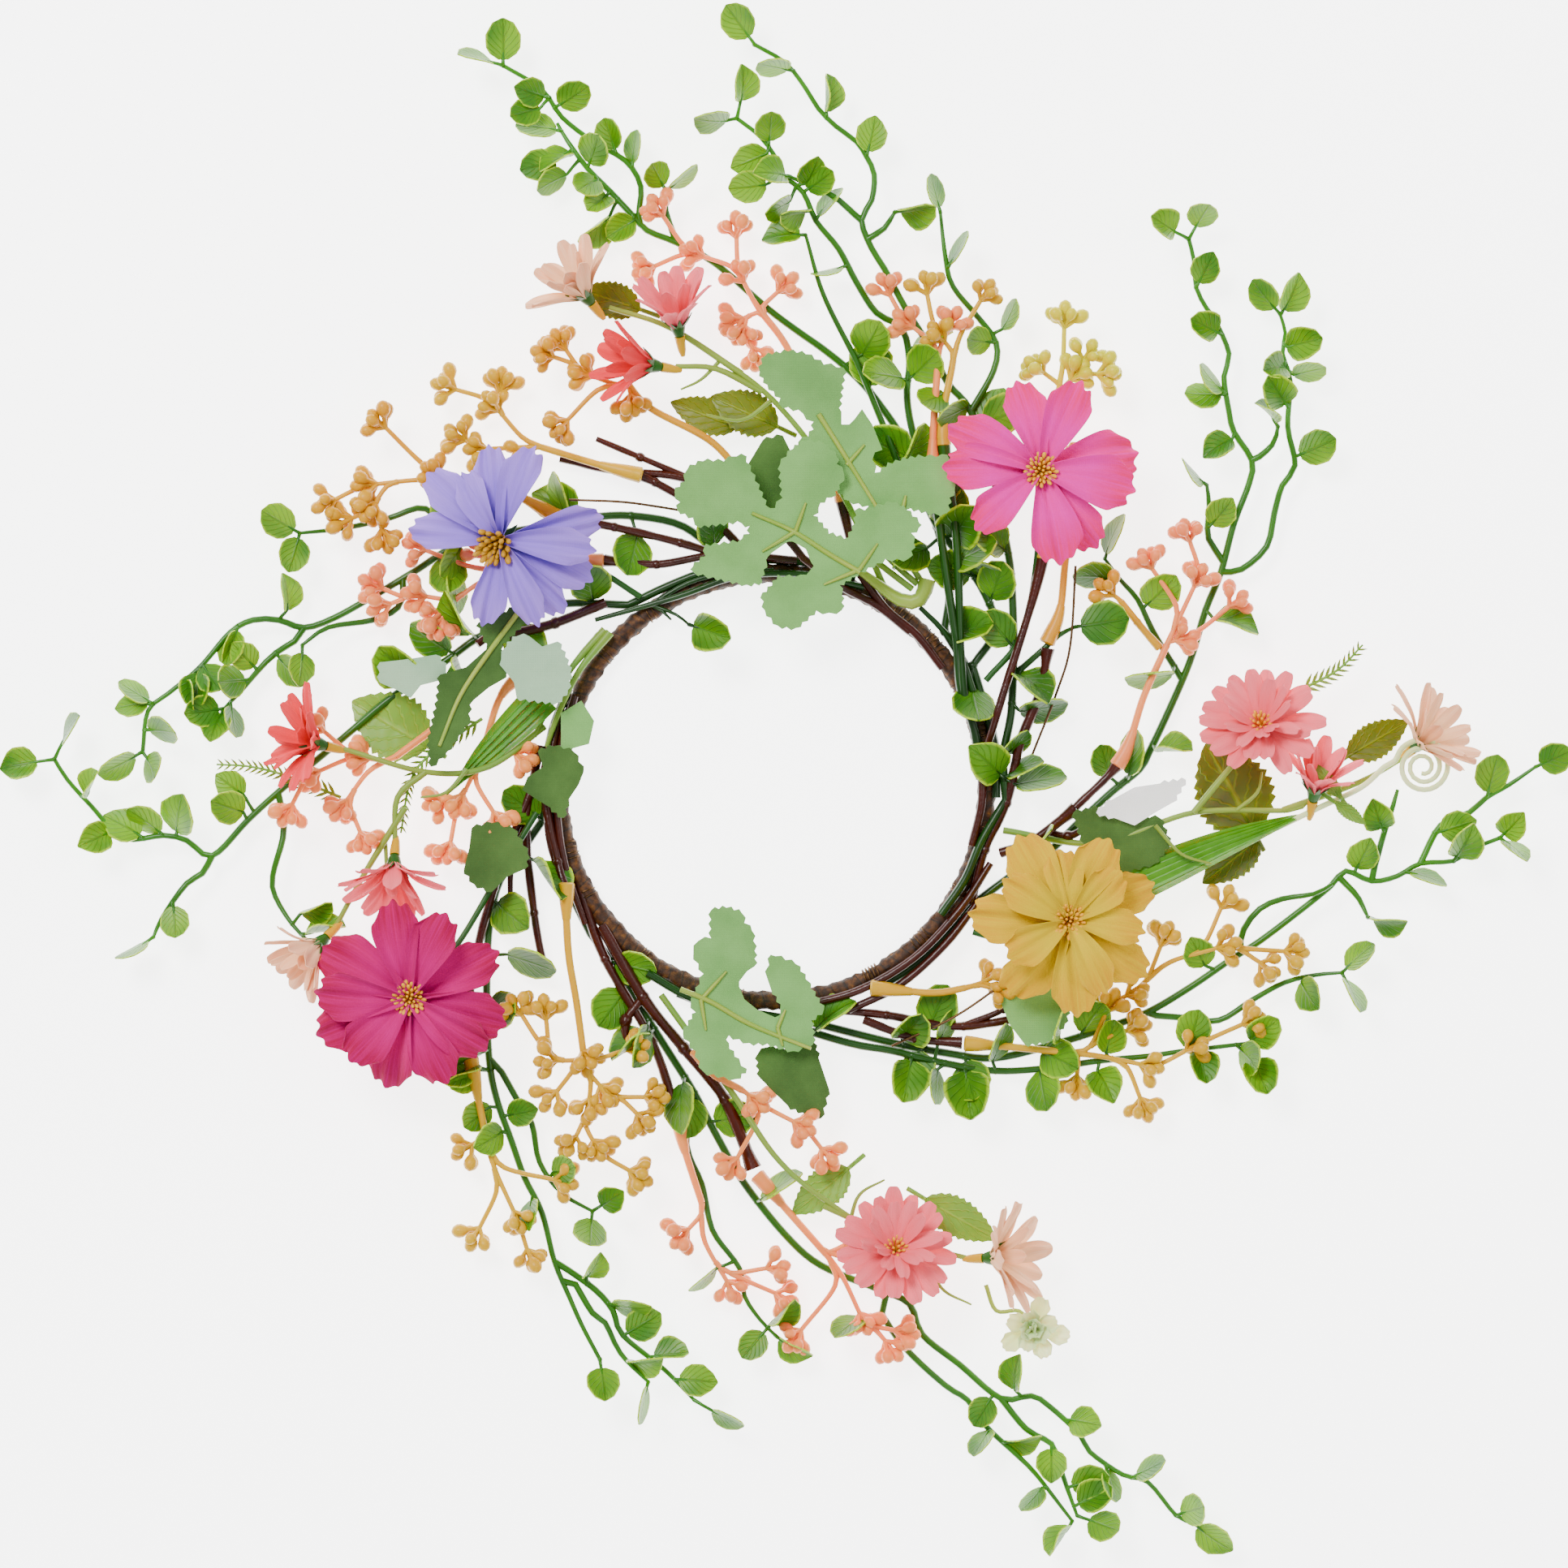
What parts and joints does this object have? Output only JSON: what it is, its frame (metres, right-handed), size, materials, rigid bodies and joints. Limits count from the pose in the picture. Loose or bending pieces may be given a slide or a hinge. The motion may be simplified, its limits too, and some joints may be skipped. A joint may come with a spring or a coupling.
{
  "type": "flower crown",
  "caption": "Artificial flower crown: cloth blossoms, berry sprays and leafy vines bound round a tape-wrapped wire hoop.",
  "frame": {"origin": "the middle of the hoop, in the plane of the surface that the crown lies on", "axes": "+Z through the hoop, out of the side that shows the blossoms; +X and +Y in the plane of the hoop, +Y towards the large sage leaf"},
  "size_m": [0.6144, 0.6075, 0.0419],
  "materials": {
    "blush": "heat-formed printed polyester cloth, matt with a light sheen",
    "coral": "heat-formed printed polyester cloth, matt with a light sheen",
    "dark_wire": "annealed florist wire, dark",
    "green": "moulded polyethylene, soft gloss",
    "hot_pink": "heat-formed printed polyester cloth, matt with a light sheen",
    "lilac": "heat-formed printed polyester cloth, matt with a light sheen",
    "lime": "moulded polyethylene, satin",
    "magenta": "heat-formed printed polyester cloth, matt with a light sheen",
    "olive": "moulded polyethylene, satin",
    "orange": "moulded polyethylene, satin",
    "pale_green": "moulded polyethylene, satin",
    "peach": "moulded polyethylene, satin",
    "pink": "moulded polyethylene, satin",
    "rose": "heat-formed printed polyester cloth, matt with a light sheen",
    "sage": "heat-formed printed polyester cloth, matt with a light sheen",
    "stalk_green": "moulded polyethylene, satin",
    "steel": "drawn wire, satin",
    "sunflower": "heat-formed printed polyester cloth, matt with a light sheen",
    "tape": "waxed crepe-paper floral tape, wound, dull",
    "twig_brown": "moulded polyethylene, glossy red-brown",
    "yellow": "moulded polyethylene, satin"
  },
  "bodies": {
    "root": {"berries_gold_bottom": "yellow", "berries_gold_left": "yellow", "berries_gold_low_left": "yellow", "berries_gold_low_right": "yellow", "berries_gold_top": "yellow", "berries_lime_right": "lime", "berries_mixed_top_right": "peach", "berries_orange_left": "orange", "berries_peach_bottom": "peach", "berries_peach_left": "peach", "berries_peach_top": "peach", "berries_pink_left": "pink", "berries_pink_right": "pink", "binding_wire_bottom": "dark_wire", "binding_wire_right": "dark_wire", "core_hoop": "steel", "cosmos_lilac_heart": "stalk_green", "cosmos_lilac_petals": "lilac", "cosmos_magenta_heart": "stalk_green", "cosmos_magenta_petals": "magenta", "cosmos_pink_heart": "stalk_green", "cosmos_pink_petals": "hot_pink", "cosmos_yellow_heart": "stalk_green", "cosmos_yellow_petals": "sunflower", "curl_tendril": "pale_green", "daisy_coral_left": "coral", "daisy_coral_top": "coral", "daisy_peach_bottom": "blush", "daisy_peach_left": "blush", "daisy_peach_right": "blush", "daisy_peach_top": "blush", "daisy_pink_bottom": "rose", "daisy_pink_left": "rose", "daisy_pink_right": "rose", "daisy_pink_top": "rose", "daisy_rose_right": "rose", "daisy_stalks_bottom": "stalk_green", "daisy_stalks_left": "stalk_green", "daisy_stalks_right": "stalk_green", "daisy_stalks_top": "stalk_green", "grass_blades": "green", "sage_leaf_bottom": "sage", "sage_leaf_left": "sage", "sage_leaf_top": "sage", "sage_leaf_upper": "sage", "serrated_leaf_right": "olive", "tape_wrap": "tape", "twig_bottom": "twig_brown", "twig_bottom_left": "twig_brown", "twig_top_left": "twig_brown", "vine_bottom_left": "green", "vine_bottom_long": "green", "vine_bottom_right": "green", "vine_left_high": "green", "vine_left_low": "green", "vine_right_high": "green", "vine_right_low": "green", "vine_top_left": "green", "vine_top_middle": "green", "vine_top_right": "green"}
  },
  "joints": []
}
